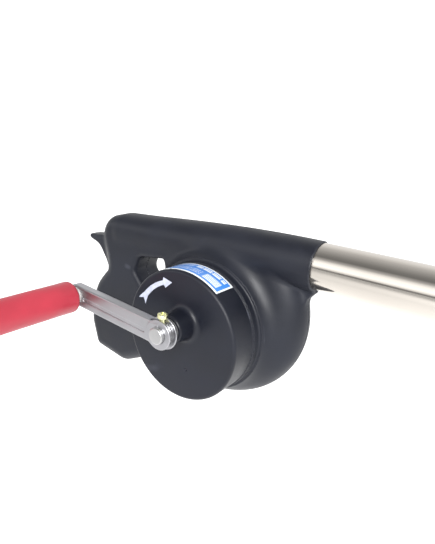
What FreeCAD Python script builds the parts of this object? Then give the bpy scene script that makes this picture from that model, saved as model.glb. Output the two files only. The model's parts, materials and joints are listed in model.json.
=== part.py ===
import FreeCAD, Part
import math
import os
import re

import Sketcher
from FreeCAD import Placement, Rotation, Vector

# Hand-crank air blower. A crank turns a two-stage spur gear train in a round gear case, which spins a
# centrifugal fan in the casing behind it. The air leaves through a steel pipe along +X.
#
# Frame: millimetres, +Z up, +X along the outlet pipe, +Y from the crank to the back of the body.
# The origin is in the middle of the pistol grip, on the plane where the two body shells part (y = 0).
# The fan axis and the crank axis are one line along Y at x = fan_x, z = 0.

DIMENSIONS = {
    # fan casing: a disc with a fully rounded rim, on the fan axis
    "fan_x": 91.4,
    "casing_flat": 42.5,
    "casing_round": 12.5,
    "wall": 2.4,
    "casing_top": 37.0,
    # gear case: a drum that stands forward of the casing, off the fan axis by the gear centres
    "drum_x": 88.0,
    "drum_z": -8.8,
    "drum_radius": 38.6,
    "drum_lip": 39.2,
    "base_radius": 39.5,
    "face_y": -43.4,
    "seam_y": -24.9,
    "step_y": -18.4,
    "chamber_radius": 35.6,
    "skirt_fillet": 5.6,
    "face_fillet": 1.6,
    # bearing boss on the cover
    "boss_root": 9.0,
    "boss_tip": 7.8,
    "boss_y": -55.4,
    # body slab, barrel and pipe
    "slab_half": 12.5,
    "slab_fillet": 9.0,
    "grip_split": 52.0,
    "hole_fillet": 3.0,
    "pipe_z": 38.3,
    "pipe_radius": 13.0,
    "pipe_wall": 0.8,
    "neck_radius": 12.7,
    "neck_end": 149.0,
    "pipe_start": 124.0,
    "pipe_end": 268.0,
    "socket_end": 148.25,
    "socket_radius": 13.9,
    "duct_radius": 10.6,
    "duct_start": 70.0,
    "duct_z": 36.0,
    "pipe_screw_x": 139.0,
    # air inlet in the back of the casing
    "inlet_radius": 25.0,
    "inlet_rim": 28.5,
    "inlet_back": 14.6,
    # crank
    "crank_reach": 66.9,
    "crank_angle": 176.7,
    "arm_front": -64.2,
    "arm_back": -59.0,
    "arm_sheet": 1.1,
    "arm_half": 6.3,
    "front_ear": 8.3,
    "rear_ear": 9.2,
    "shaft_radius": 4.6,
    "shaft_tip": -66.4,
    "shaft_end": -32.6,
    "collar_radius": 6.5,
    # grip
    "grip_radius": 9.3,
    "grip_inner": -67.0,
    "grip_outer": -145.6,
    "grip_round": 3.0,
    "pin_radius": 3.0,
    # gear train
    "gear_module": 0.8,
    "crank_teeth": 46.0,
    "pinion_teeth": 12.0,
    "cluster_teeth": 48.0,
    "fan_teeth": 10.0,
    "stage_one_y": -38.4,
    "stage_two_y": -31.4,
    "gear_width": 4.8,
    "plate_y": -24.9,
    "plate_thick": 2.5,
    "post_circle": 31.0,
    # fan
    "fan_shaft_radius": 2.0,
    "fan_radius": 39.5,
    "fan_front": -8.2,
    "fan_back": 7.4,
    "blade_thick": 1.4,
    # fasteners and running fits
    "screw_radius": 1.25,
    "head_radius": 2.7,
    "running": 0.04,
}
BLADES = 8
COVER_POST_ANGLES = (35, 135, 195, 335)
BODY_SCREWS = ((-11.0, -53.0), (-3.0, 26.0), (30.0, -44.0), (46.0, 35.0))

# Both gear stages have the same centre distance. The counter shaft stands that far from the fan axis, on
# the line to the middle of the drum.
GEAR_CENTRES = "gear_module * (crank_teeth + pinion_teeth) / 2"
DRUM_OFFSET = "sqrt((drum_x - fan_x) ^ 2 + drum_z ^ 2)"
COUNTER_X = "fan_x + %s * (drum_x - fan_x) / %s" % (GEAR_CENTRES, DRUM_OFFSET)
COUNTER_Z = "%s * drum_z / %s" % (GEAR_CENTRES, DRUM_OFFSET)

doc = FreeCAD.newDocument("hand_crank_blower")
sheet = doc.addObject("Spreadsheet::Sheet", "dims")
for row, (alias, number) in enumerate(DIMENSIONS.items(), start=1):
    sheet.set("A%d" % row, alias)
    sheet.set("B%d" % row, str(number))
    sheet.setAlias("B%d" % row, alias)
doc.recompute()

ALIAS = re.compile(r"\b(%s)\b" % "|".join(sorted(DIMENSIONS, key=len, reverse=True)))
SUBPARTS = []


def bound(expression):
    """The same expression, with each dimension's name pointing at its cell."""
    return ALIAS.sub(r"dims.\1", expression)


def value(expression):
    """What an expression of dimension names comes to, in millimetres."""
    return float(sheet.evalExpression(bound(expression)))


def bind(target, prop, expression):
    target.setExpression(prop, bound(expression))


def place(target, x="0", y="0", z="0", rotation=Rotation()):
    target.Placement = Placement(Vector(value(x), value(y), value(z)), rotation)
    for axis, expression in (("x", x), ("y", y), ("z", z)):
        bind(target, "Placement.Base.%s" % axis, expression)
    return target


def subpart(label, target):
    """Marks an object as one physical piece, and names its file."""
    target.Label = label
    SUBPARTS.append(target)
    return target


# ---------------------------------------------------------------- turned pieces and primitives

def closed_sketch(body, name, points):
    """A closed outline on the body's XY plane, with every corner bound to the sheet."""
    sketch = body.newObject("Sketcher::SketchObject", name)
    plane = next(item for item in body.Origin.OriginFeatures if item.Role == "XY_Plane")
    sketch.AttachmentSupport = [(plane, "")]
    sketch.MapMode = "FlatFace"
    corners = [Vector(value(u), value(v), 0) for u, v in points]
    count = len(corners)
    for index in range(count):
        sketch.addGeometry(Part.LineSegment(corners[index], corners[(index + 1) % count]), False)
    for index in range(count):
        sketch.addConstraint(Sketcher.Constraint("Coincident", index, 2, (index + 1) % count, 1))
    for index, pair in enumerate(points):
        for kind, axis, expression in (("DistanceX", "x", pair[0]), ("DistanceY", "y", pair[1])):
            name = "%s%d" % (axis, index)
            added = sketch.addConstraint(
                Sketcher.Constraint(kind, -1, 1, index, 1, value(expression)))
            sketch.renameConstraint(added, name)
            bind(sketch, "Constraints.%s" % name, expression)
    return sketch


def turned(name, points, x="fan_x", z="0", along="Y"):
    """A lathe-turned body. Points are (radius, position along the axis), as expressions."""
    body = doc.addObject("PartDesign::Body", name)
    if along == "X":
        points = [(position, radius) for radius, position in points]
    sketch = closed_sketch(body, name + "_profile", points)
    turn = body.newObject("PartDesign::Revolution", name + "_turn")
    turn.Profile = sketch
    turn.ReferenceAxis = (sketch, ["H_Axis" if along == "X" else "V_Axis"])
    turn.Angle = 360
    place(body, x, "0", z)
    return body


def sleeve(outer, inner, start, end):
    """The section of a plain ring or tube."""
    return [(inner, start), (outer, start), (outer, end), (inner, end)]


def rounded(body, name, radius, picks):
    """Rounds the circular edges of a turned body whose (radius, position) are in picks."""
    doc.recompute()
    base = body.Tip
    names = []
    for index, edge in enumerate(base.Shape.Edges, start=1):
        if not isinstance(edge.Curve, Part.Circle):
            continue
        for edge_radius, position in picks:
            same_radius = abs(edge.Curve.Radius - value(edge_radius)) < 0.01
            if same_radius and abs(edge.Curve.Center.y - value(position)) < 0.01:
                names.append("Edge%d" % index)
    fillet = body.newObject("PartDesign::Fillet", name)
    fillet.Base = (base, names)
    bind(fillet, "Radius", radius)
    return body


def rod(name, radius, start, length, x="fan_x", z="0"):
    """A cylinder along +Y."""
    item = doc.addObject("Part::Cylinder", name)
    bind(item, "Radius", radius)
    bind(item, "Height", length)
    return place(item, x, start, z, Rotation(Vector(1, 0, 0), -90))


def block(name, low, size):
    item = doc.addObject("Part::Box", name)
    for prop, expression in zip(("Length", "Width", "Height"), size):
        bind(item, prop, expression)
    return place(item, *low)


def fuse(name, shapes):
    item = doc.addObject("Part::MultiFuse", name)
    item.Shapes = shapes
    return item


def cut(name, base, tool):
    item = doc.addObject("Part::Cut", name)
    item.Base = base
    item.Tool = tool
    return item


def common(name, base, tool):
    item = doc.addObject("Part::Common", name)
    item.Base = base
    item.Tool = tool
    return item


def rounded_outline(name, corners, y=0.0):
    """A face in the XZ plane: straight sides, with each (x, z, radius) corner as a tangent arc."""
    edges = []
    ends = []
    count = len(corners)
    for index, (x, z, radius) in enumerate(corners):
        here = Vector(x, y, z)
        before = Vector(corners[index - 1][0], y, corners[index - 1][1])
        after = Vector(corners[(index + 1) % count][0], y, corners[(index + 1) % count][1])
        to_before = (before - here).normalize()
        to_after = (after - here).normalize()
        if radius == 0:
            ends.append((here, here))
            continue
        half = to_before.getAngle(to_after) / 2
        start = here + to_before * (radius / math.tan(half))
        end = here + to_after * (radius / math.tan(half))
        middle = (to_before + to_after).normalize() * (radius / math.sin(half) - radius)
        edges.append(Part.Arc(start, here + middle, end).toShape())
        ends.append((start, end))
    for index in range(count):
        start = ends[index][1]
        end = ends[(index + 1) % count][0]
        if start.distanceToPoint(end) > 1e-6:
            edges.append(Part.LineSegment(start, end).toShape())
    outline = doc.addObject("Part::Feature", name)
    outline.Shape = Part.Face(Part.Wire(Part.__sortEdges__(edges)))
    return outline


def extruded(name, outline, start, length):
    """An outline in the XZ plane pulled along +Y, from start."""
    item = doc.addObject("Part::Extrusion", name)
    item.Base = outline
    item.DirMode = "Custom"
    item.Dir = Vector(0, 1, 0)
    item.Solid = True
    bind(item, "LengthFwd", length)
    return place(item, "0", start, "0")


def edge_fillet(name, base, radius, wanted):
    """Rounds every edge of base that wanted(edge) picks."""
    doc.recompute()
    item = doc.addObject("Part::Fillet", name)
    item.Base = base
    size = value(radius)
    picked = [index for index, edge in enumerate(base.Shape.Edges, start=1) if wanted(edge)]
    item.Edges = [(index, size, size) for index in picked]
    return item


def lies_at(edge, y):
    box = edge.BoundBox
    return abs(box.YMin - y) < 0.01 and abs(box.YMax - y) < 0.01


# ---------------------------------------------------------------- body: outer form

# Side view of the grip slab, clockwise from the barrel: rounded rear end, throat under the thumb
# horn, heel of the grip, and the lower web that runs up into the casing.
SLAB_CORNERS = (
    (80.0, 43.2, 0), (-20.0, 41.4, 15), (-9.0, 3.2, 8), (-23.5, -13.6, 30), (-28.6, -42.0, 24),
    (-21.2, -64.1, 7), (8.8, -68.4, 12), (70.0, -37.2, 0), (86.0, 0.0, 0),
)
# Finger hole. Its right side follows the round casing.
HOLE_CORNERS = (
    (23.6, 17.4, 5), (45.4, 20.8, 2.5), (49.0, 15.6, 3), (46.0, 1.0, 40), (48.5, -14.0, 2), (41.0, -17.0, 6),
    (19.6, 6.6, 5),
)
# Thumb horn, in side view and in plan (x, y).
HORN_SIDE = (
    (-8.0, 25.6, 0), (-36.2, 21.7, 0.8), (-36.0, 19.7, 0.8), (-22.0, 16.6, 12), (-12.0, 4.0, 0),
    (-8.0, 4.0, 0),
)
HORN_PLAN = (
    (-8.0, 7.5), (-20.0, 7.0), (-30.0, 6.2), (-34.5, 4.2), (-36.2, 1.5), (-36.2, -1.5), (-34.5, -4.2),
    (-30.0, -6.2), (-20.0, -7.0), (-8.0, -7.5),
)
# Web under the pipe socket, between the barrel and the casing rim.
GUSSET_SIDE = ((118.0, 30.0, 0), (149.6, 24.3, 0.5), (144.8, 18.6, 3), (138.0, 6.0, 0), (118.0, 6.0, 0))
# Barrel sections: position, height of the centre, radius.
BARREL_SECTIONS = (
    (4.0, 31.1, 11.8), (35.0, 33.7, 12.3), (65.0, 35.5, 12.8), (95.0, 36.8, 13.6),
    (120.0, 37.6, 14.0), (148.25, 38.0, 13.9),
)


def slab(name, inset, half, fillet):
    """The grip slab, or its hollow when inset is the wall."""
    outline = rounded_outline(name + "_outline", SLAB_CORNERS)
    if inset:
        outline.Shape = Part.Face(outline.Shape.OuterWire.makeOffset2D(-inset))
    pulled = extruded(name + "_pulled", outline, "-(%s)" % half, "2 * (%s)" % half)
    reach = value(half)
    return edge_fillet(name, pulled, fillet, lambda edge: lies_at(edge, reach) or lies_at(edge, -reach))


def barrel(name, inset):
    """A round barrel lofted through its sections."""
    rings = []
    for index, (x, z, radius) in enumerate(BARREL_SECTIONS):
        ring = doc.addObject("Part::Circle", "%s_ring_%d" % (name, index))
        ring.Radius = radius - inset
        ring.Placement = Placement(Vector(x, 0, z), Rotation(Vector(0, 1, 0), 90))
        rings.append(ring)
    loft = doc.addObject("Part::Loft", name)
    loft.Sections = rings
    loft.Solid = True
    return loft


def casing_blank(name, inset):
    """A disc on the fan axis with a full round rim, flat on top where the barrel takes over."""
    rim = doc.addObject("Part::Torus", name + "_rim")
    bind(rim, "Radius1", "casing_flat")
    bind(rim, "Radius2", "casing_round - %s" % inset)
    place(rim, "fan_x", "0", "0", Rotation(Vector(1, 0, 0), -90))
    half = "(casing_round - %s)" % inset
    disc = rod(name + "_disc", "casing_flat", "-" + half, "2 * " + half)
    whole = fuse(name + "_whole", [rim, disc])
    roof = block(name + "_roof", ("fan_x - 60", "-20", "-60"), ("120", "40", "casing_top + 60 - %s" % inset))
    return common(name, whole, roof)


def wedge_from_plan(name, plan, low, high):
    """A prism whose plan view is the given polygon, between two heights."""
    corners = [Vector(x, y, low) for x, y in plan]
    outline = doc.addObject("Part::Feature", name + "_outline")
    outline.Shape = Part.Face(Part.makePolygon(corners + corners[:1]))
    item = doc.addObject("Part::Extrusion", name)
    item.Base = outline
    item.DirMode = "Custom"
    item.Dir = Vector(0, 0, 1)
    item.LengthFwd = high - low
    item.Solid = True
    return item


hole_outline = rounded_outline("finger_hole_outline", HOLE_CORNERS)
hole_cutter = extruded("finger_hole_cutter", hole_outline, "step_y - 2", "slab_half - step_y + 4")
slab_outer = slab("slab_outer", 0, "slab_half", "slab_fillet")
slab_open = cut("slab_open", slab_outer, hole_cutter)


def is_hole_rim(edge):
    """The edge of the finger hole on either side of the slab."""
    rim = hole_outline.Shape.BoundBox
    rim.enlarge(0.1)
    box = edge.BoundBox
    inside = rim.XMin < box.XMin and box.XMax < rim.XMax and rim.ZMin < box.ZMin and box.ZMax < rim.ZMax
    return inside and (lies_at(edge, value("slab_half")) or lies_at(edge, -value("slab_half")))


slab_rounded = edge_fillet("slab_rounded", slab_open, "hole_fillet", is_hole_rim)

casing_outer = casing_blank("casing_outer", "0")
drum_base = rod("drum_base", "base_radius", "step_y", "-step_y - 2", "drum_x", "drum_z")
casing_drum = fuse("casing_drum", [casing_outer, drum_base])


def is_skirt(edge):
    """The edge where the drum's base meets the front of the casing."""
    box = edge.BoundBox
    return box.YMin > -value("casing_round") - 0.01 and box.YMax < -2.1 and all(
        abs(math.hypot(v.X - value("drum_x"), v.Z - value("drum_z")) - value("base_radius")) < 0.01
        for v in edge.Vertexes)


casing_skirt = edge_fillet("casing_skirt", casing_drum, "skirt_fillet", is_skirt)
casing_open = cut("casing_open", casing_skirt, hole_cutter)
barrel_outer = barrel("barrel_outer", 0)
horn_side = extruded("horn_side", rounded_outline("horn_outline", HORN_SIDE), "-slab_half", "2 * slab_half")
horn = common("horn", horn_side, wedge_from_plan("horn_plan", HORN_PLAN, -10, 40))
gusset = extruded("gusset", rounded_outline("gusset_outline", GUSSET_SIDE), "-3.5", "7")
inlet_ring = rod("inlet_ring", "inlet_rim", "0", "inlet_back")

body_outer = fuse("body_outer", [slab_rounded, casing_open, barrel_outer, horn, gusset, inlet_ring])

# ---------------------------------------------------------------- body: hollow

hole_wall_outline = doc.addObject("Part::Feature", "hole_wall_outline")
hole_wall_outline.Shape = Part.Face(hole_outline.Shape.OuterWire.makeOffset2D(value("wall")))
hole_wall = extruded("hole_wall", hole_wall_outline, "-slab_half - 2", "2 * slab_half + 4")
fan_chamber = cut("fan_chamber", casing_blank("fan_space", "wall"), hole_wall)
duct = doc.addObject("Part::Cylinder", "duct")
bind(duct, "Radius", "duct_radius")
bind(duct, "Height", "pipe_start - duct_start + 1")
place(duct, "duct_start", "0", "duct_z", Rotation(Vector(0, 1, 0), 90))
socket = doc.addObject("Part::Cylinder", "socket")
bind(socket, "Radius", "neck_radius + running")
bind(socket, "Height", "socket_end - pipe_start + 2")
place(socket, "pipe_start - 0.5", "0", "pipe_z", Rotation(Vector(0, 1, 0), 90))
gear_room = rod("gear_room", "chamber_radius", "step_y - 1", "1 - step_y - casing_round", "drum_x", "drum_z")
inlet_hole = rod("inlet_hole", "inlet_radius", "0", "inlet_back + 1")
sleeve_hole = rod("sleeve_hole", "6.05", "-14", "8")

grip_hollow_whole = slab("grip_hollow_whole", value("wall"), "slab_half - wall", "slab_fillet - wall")
rear_wall = doc.addObject("Part::Cylinder", "rear_wall")
bind(rear_wall, "Radius", "duct_radius + wall")
bind(rear_wall, "Height", "wall + 40")
place(rear_wall, "duct_start - wall", "0", "duct_z", Rotation(Vector(0, 1, 0), 90))
keep_clear = fuse("keep_clear", [casing_outer, hole_wall, rear_wall])
grip_hollow = cut("grip_hollow", grip_hollow_whole, keep_clear)
hollow = fuse("hollow", [fan_chamber, duct, socket, gear_room, inlet_hole, sleeve_hole, grip_hollow])
body_shell = cut("body_shell", body_outer, hollow)

# Screw posts, moulded on both shells.
front_posts = [rod("front_post_%d" % i, "3.2", "-slab_half + wall - 0.5", "slab_half - wall + 0.5",
                   str(x), str(z)) for i, (x, z) in enumerate(BODY_SCREWS)]
rear_posts = [rod("rear_post_%d" % i, "4.4", "0", "slab_half - 1.5", str(x), str(z))
              for i, (x, z) in enumerate(BODY_SCREWS)]
pilots = [rod("pilot_%d" % i, "screw_radius", "-7.5", "8", str(x), str(z))
          for i, (x, z) in enumerate(BODY_SCREWS)]
screw_ways = [rod("screw_way_%d" % i, "screw_radius + 0.3", "-0.5", "slab_half + 3", str(x), str(z))
              for i, (x, z) in enumerate(BODY_SCREWS)]
head_wells = [rod("head_well_%d" % i, "head_radius + 0.5", "slab_half - 4", "8", str(x), str(z))
              for i, (x, z) in enumerate(BODY_SCREWS)]


def on_post_circle(angle):
    """Where a gear-case screw stands, as expressions."""
    turn = "%d deg" % angle
    return "drum_x + post_circle * cos(%s)" % turn, "drum_z + post_circle * sin(%s)" % turn


case_posts = []
case_ways = []
for index, angle in enumerate(COVER_POST_ANGLES):
    post_x, post_z = on_post_circle(angle)
    case_posts.append(rod("case_post_%d" % index, "3.4", "plate_y + plate_thick",
                          "-plate_y - plate_thick - casing_round + wall", post_x, post_z))
    case_ways.append(rod("case_way_%d" % index, "screw_radius + 0.3", "plate_y", "20", post_x, post_z))
    case_ways.append(rod("case_well_%d" % index, "head_radius + 0.4", "-casing_round + wall - 2.2", "4",
                         post_x, post_z))

# The drum base in front of the casing carries the gear plate and the cover's rim.
collar = turned("drum_collar", [
    ("chamber_radius", "plate_y + plate_thick"), ("drum_radius + 0.3", "plate_y + plate_thick"),
    ("drum_radius + 0.3", "step_y + 0.5"), ("chamber_radius", "step_y + 0.5")], "drum_x", "drum_z")
rim_seat = turned("rim_seat", sleeve("drum_radius + 0.3", "chamber_radius + 1.2", "seam_y", "seam_y + 2.6"),
                  "drum_x", "drum_z")

front_half = block("front_half", ("-60", "-60", "-90"), ("260", "60", "170"))
rear_half = block("rear_half", ("-60", "0", "-90"), ("260", "40", "170"))
# Each moulded half is kept as two solids that meet face to face: the pistol grip round its finger hole,
# and the casing with the drum base and the pipe socket.
grip_side = block("grip_side", ("-60", "-60", "-90"), ("60 + grip_split", "120", "170"))
front_skin = common("front_skin", body_shell, front_half)
front_solid = fuse("front_solid", [front_skin, collar, rim_seat] + front_posts + case_posts)
front_tools = fuse("front_tools", pilots + case_ways)
front_moulding = cut("front_moulding", front_solid, front_tools)
front_grip = subpart("front_grip", common("front_grip", front_moulding, grip_side))
front_shell = subpart("front_shell", cut("front_shell", front_moulding, grip_side))

rear_skin = common("rear_skin", body_shell, rear_half)
rear_solid = fuse("rear_solid", [rear_skin] + rear_posts)
pipe_screw_hole = rod("pipe_screw_hole", "screw_radius", "5", "12", "pipe_screw_x", "pipe_z")
rear_tools = fuse("rear_tools", screw_ways + head_wells + [pipe_screw_hole])
rear_moulding = cut("rear_moulding", rear_solid, rear_tools)
rear_grip = subpart("rear_grip", common("rear_grip", rear_moulding, grip_side))
rear_shell = subpart("rear_shell", cut("rear_shell", rear_moulding, grip_side))


# ---------------------------------------------------------------- gear case cover and inlet grille

cover_turn = turned("cover_turn", [
    ("shaft_radius + running + 1.9", "face_y + wall + 2"), ("shaft_radius + running + 1.9", "boss_y + 1.2"),
    ("shaft_radius + 0.3", "boss_y + 1.2"), ("shaft_radius + 0.3", "boss_y"),
    ("boss_tip", "boss_y"), ("boss_root", "face_y"), ("boss_root", "face_y + wall + 2")])
cover_can = turned("cover_can", [
    ("0", "face_y"), ("drum_radius", "face_y"), ("drum_radius", "seam_y - 1.0"),
    ("drum_lip", "seam_y - 0.8"), ("drum_lip", "seam_y"),
    ("chamber_radius + 1.0", "seam_y"), ("chamber_radius + 1.0", "seam_y - 2.0"),
    ("chamber_radius", "seam_y - 2.0"), ("chamber_radius", "face_y + wall"), ("0", "face_y + wall")],
    "drum_x", "drum_z")
rounded(cover_can, "cover_can_round", "face_fillet", [("drum_radius", "face_y")])
cover_ways = []
cover_posts = []
for index, angle in enumerate(COVER_POST_ANGLES):
    post_x, post_z = on_post_circle(angle)
    cover_posts.append(rod("cover_post_%d" % index, "2.9", "face_y + wall - 0.2",
                           "plate_y - face_y - wall + 0.2", post_x, post_z))
    cover_ways.append(rod("cover_pilot_%d" % index, "screw_radius", "plate_y - 8", "9", post_x, post_z))
pin_boss = rod("pin_boss", "4.0", "face_y + wall - 0.2", "1.9", COUNTER_X, COUNTER_Z)
pin_socket = rod("pin_socket", "2.0", "face_y + wall - 0.6", "5", COUNTER_X, COUNTER_Z)
crank_way = rod("crank_way", "shaft_radius + running + 1.9", "boss_y + 1.2", "30")
crank_mouth = rod("crank_mouth", "shaft_radius + 0.3", "boss_y - 1", "30")
dimple = rod("dimple", "0.75", "face_y - 0.5", "1.1", "drum_x + 6.9", "drum_z - 18.6")
cover_solid = fuse("cover_solid", [cover_can, cover_turn, pin_boss] + cover_posts)
cover_tools = fuse("cover_tools", [crank_way, crank_mouth, pin_socket, dimple] + cover_ways)
gear_cover = subpart("gear_cover", cut("gear_cover", cover_solid, cover_tools))

grille_disc = rod("grille_disc", "inlet_radius - 0.1", "casing_round - wall", "wall")
GRILLE_RINGS = ((6.5, 9.3), (11.3, 14.1), (16.1, 18.9), (20.7, 23.2))
ring_ways = [turned("ring_way_%d" % i, sleeve(str(outer), str(inner), "casing_round - wall - 1",
                                              "casing_round + 1"))
             for i, (inner, outer) in enumerate(GRILLE_RINGS)]
spokes = []
for index in range(3):
    spoke = doc.addObject("Part::Box", "spoke_%d" % index)
    bind(spoke, "Length", "2 * inlet_radius - 1")
    bind(spoke, "Width", "wall")
    spoke.Height = 2.2
    turn = Rotation(Vector(0, 1, 0), 60 * index)
    corner = turn.multVec(Vector(-value("inlet_radius") + 0.5, 0, -1.1))
    spoke.Placement = Placement(corner + Vector(value("fan_x"), value("casing_round - wall"), 0), turn)
    spokes.append(spoke)
grille_open = cut("grille_open", grille_disc, fuse("ring_ways", ring_ways))
inlet_grille = subpart("inlet_grille", fuse("inlet_grille", [grille_open] + spokes))

# ---------------------------------------------------------------- outlet pipe

# The end in the socket is drawn down, so that the pipe stands nearly flush with the moulding.
pipe_tube = turned("pipe_tube", [
    ("pipe_radius - pipe_wall", "pipe_start"), ("neck_radius", "pipe_start"), ("neck_radius", "neck_end"),
    ("pipe_radius", "neck_end"), ("pipe_radius", "pipe_end"), ("pipe_radius - pipe_wall", "pipe_end")],
    "0", "pipe_z", "X")
blow_pipe = subpart("blow_pipe", cut("blow_pipe", pipe_tube, rod(
    "pipe_screw_way", "screw_radius", "5", "12", "pipe_screw_x", "pipe_z")))

# ---------------------------------------------------------------- gear train

def involute_point(base, roll):
    return base * (math.cos(roll) + roll * math.sin(roll)), base * (math.sin(roll) - roll * math.cos(roll))


def spur_face(teeth, shift, slack=0.13):
    """The face of a stub-tooth spur gear in the XZ plane, with a tooth centred at angle shift."""
    module = value("gear_module")
    pitch = module * teeth / 2
    base = pitch * math.cos(math.radians(20))
    tip = pitch + 0.85 * module
    root = pitch - 1.1 * module
    roll_pitch = math.sqrt((pitch / base) ** 2 - 1)
    half_pitch = (math.pi * module / 2 - slack) / (2 * pitch)
    half_base = half_pitch + roll_pitch - math.atan(roll_pitch)
    start = max(base, root)
    rolls = [math.sqrt(((start + (tip - start) * step / 4) / base) ** 2 - 1) for step in range(5)]
    edges = []
    points = []
    for tooth in range(teeth):
        middle = shift + 2 * math.pi * tooth / teeth
        flank = []
        for roll in rolls:
            u, v = involute_point(base, roll)
            flank.append((math.hypot(u, v), half_base - math.atan2(v, u)))
        if root < base:
            flank.insert(0, (root, half_base))
        right = [(radius, middle - spread) for radius, spread in flank]
        left = [(radius, middle + spread) for radius, spread in reversed(flank)]
        points.append([Vector(r * math.cos(a), 0, r * math.sin(a)) for r, a in right + left])
    for index, tooth_points in enumerate(points):
        loop = tooth_points + [points[(index + 1) % teeth][0]]
        edges += [Part.LineSegment(a, b).toShape() for a, b in zip(loop, loop[1:])]
    return Part.Face(Part.Wire(edges))


def toothed(name, teeth, start, width, x, z, shift):
    """A solid disc of teeth along +Y."""
    outline = doc.addObject("Part::Feature", name + "_outline")
    outline.Shape = spur_face(int(value(teeth)), shift)
    disc = doc.addObject("Part::Extrusion", name)
    disc.Base = outline
    disc.DirMode = "Custom"
    disc.Dir = Vector(0, 1, 0)
    disc.Solid = True
    bind(disc, "LengthFwd", width)
    return place(disc, x, start, z)


# Each small gear has a space where the gear it meets has a tooth, on the line between their centres.
to_counter = math.atan2(value(COUNTER_Z), value(COUNTER_X) - value("fan_x"))
half_pinion = math.pi / value("pinion_teeth")
half_fan = math.pi / value("fan_teeth")

crank_wheel = toothed("crank_wheel", "crank_teeth", "stage_one_y", "gear_width", "fan_x", "0", to_counter)
crank_hub = rod("crank_gear_hub", "8", "stage_one_y - 0.3", "gear_width + 0.3")
subpart("crank_gear", cut("crank_gear", fuse("crank_gear_solid", [crank_wheel, crank_hub]), rod(
    "crank_gear_bore", "shaft_radius", "stage_one_y - 5", "20")))

cluster_pinion = toothed("cluster_pinion", "pinion_teeth", "stage_one_y", "stage_two_y - stage_one_y + 0.5",
                         COUNTER_X, COUNTER_Z, to_counter + math.pi + half_pinion)
cluster_wheel = toothed("cluster_wheel", "cluster_teeth", "stage_two_y", "gear_width", COUNTER_X, COUNTER_Z,
                        to_counter + math.pi)
subpart("cluster_gear", cut("cluster_gear", fuse("cluster_gear_solid", [cluster_pinion, cluster_wheel]), rod(
    "cluster_gear_bore", "2.0 + running", "stage_one_y - 5", "20", COUNTER_X, COUNTER_Z)))

fan_teeth_disc = toothed("fan_teeth_disc", "fan_teeth", "stage_two_y", "gear_width + 0.6", "fan_x", "0",
                         to_counter + half_fan)
subpart("fan_pinion", cut("fan_pinion", fan_teeth_disc, rod(
    "fan_pinion_bore", "fan_shaft_radius", "stage_two_y - 5", "20")))

counter_shaft = subpart("counter_shaft", rod(
    "counter_shaft", "2.0", "face_y + wall - 0.6", "plate_y + plate_thick - face_y - wall + 0.6",
    COUNTER_X, COUNTER_Z))

plate_sleeve = rod("plate_sleeve", "6", "plate_y", "13")
plate_ways = [rod("plate_way_%d" % i, "screw_radius + 0.3", "plate_y - 1", "5", *on_post_circle(angle))
              for i, angle in enumerate(COVER_POST_ANGLES)]
plate_disc = rod("plate_disc", "drum_radius - 2.8", "plate_y", "plate_thick", "drum_x", "drum_z")
plate_solid = fuse("plate_solid", [plate_disc, plate_sleeve])
plate_tools = fuse("plate_tools", [
    rod("bush_way", "4.0", "plate_y - 1", "15"),
    rod("pin_way", "2.0", "plate_y - 1", "5", COUNTER_X, COUNTER_Z)] + plate_ways)
gear_plate = subpart("gear_plate", cut("gear_plate", plate_solid, plate_tools))

# ---------------------------------------------------------------- fan

fan_shaft = subpart("fan_shaft", rod("fan_shaft", "fan_shaft_radius", "stage_two_y - 0.4", "40.6"))
for label, start in (("fan_bush_front", "plate_y"), ("fan_bush_rear", "plate_y + 9")):
    subpart(label, turned(label, sleeve("4.0", "fan_shaft_radius + running", start, start + " + 4")))

fan_wheel = turned("fan_wheel", [
    ("fan_shaft_radius", "fan_front"), ("fan_radius", "fan_front"), ("fan_radius", "fan_front + 1.4"),
    ("7.0", "fan_front + 2.0"), ("6.0", "4.0"), ("fan_shaft_radius", "4.0")])
blade_sketch = fan_wheel.newObject("Sketcher::SketchObject", "blade_section")
plane = next(item for item in fan_wheel.Origin.OriginFeatures if item.Role == "XZ_Plane")
blade_sketch.AttachmentSupport = [(plane, "")]
blade_sketch.MapMode = "FlatFace"
blade_sketch.AttachmentOffset = Placement(Vector(0, 0, -value("fan_front + 1.2")), Rotation())
# One blade is a slot-shaped arc that leans back from the direction of rotation.
BLADE_CENTRE = Vector(-15.5, 21.0, 0)
BLADE_RADIUS = 28.0
blade_half = value("blade_thick") / 2
normal = Vector(0, 0, 1)
first, last = math.radians(-38), math.radians(22)
inner_arc = Part.ArcOfCircle(Part.Circle(BLADE_CENTRE, normal, BLADE_RADIUS - blade_half), first, last)
outer_arc = Part.ArcOfCircle(Part.Circle(BLADE_CENTRE, normal, BLADE_RADIUS + blade_half), first, last)
blade_sketch.addGeometry(inner_arc, False)
blade_sketch.addGeometry(Part.LineSegment(inner_arc.EndPoint, outer_arc.EndPoint), False)
blade_sketch.addGeometry(outer_arc, False)
blade_sketch.addGeometry(Part.LineSegment(outer_arc.StartPoint, inner_arc.StartPoint), False)
blade = fan_wheel.newObject("PartDesign::Pad", "blade")
blade.Profile = blade_sketch
blade.Reversed = True
bind(blade, "Length", "fan_back - fan_front - 1.2")
doc.recompute()
blades = fan_wheel.newObject("PartDesign::PolarPattern", "blades")
blades.Originals = [blade]
blades.Axis = (blade_sketch, ["N_Axis"])
blades.Angle = 360
blades.Occurrences = BLADES
fan_wheel.Tip = blades
subpart("fan_wheel", fan_wheel)

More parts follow.
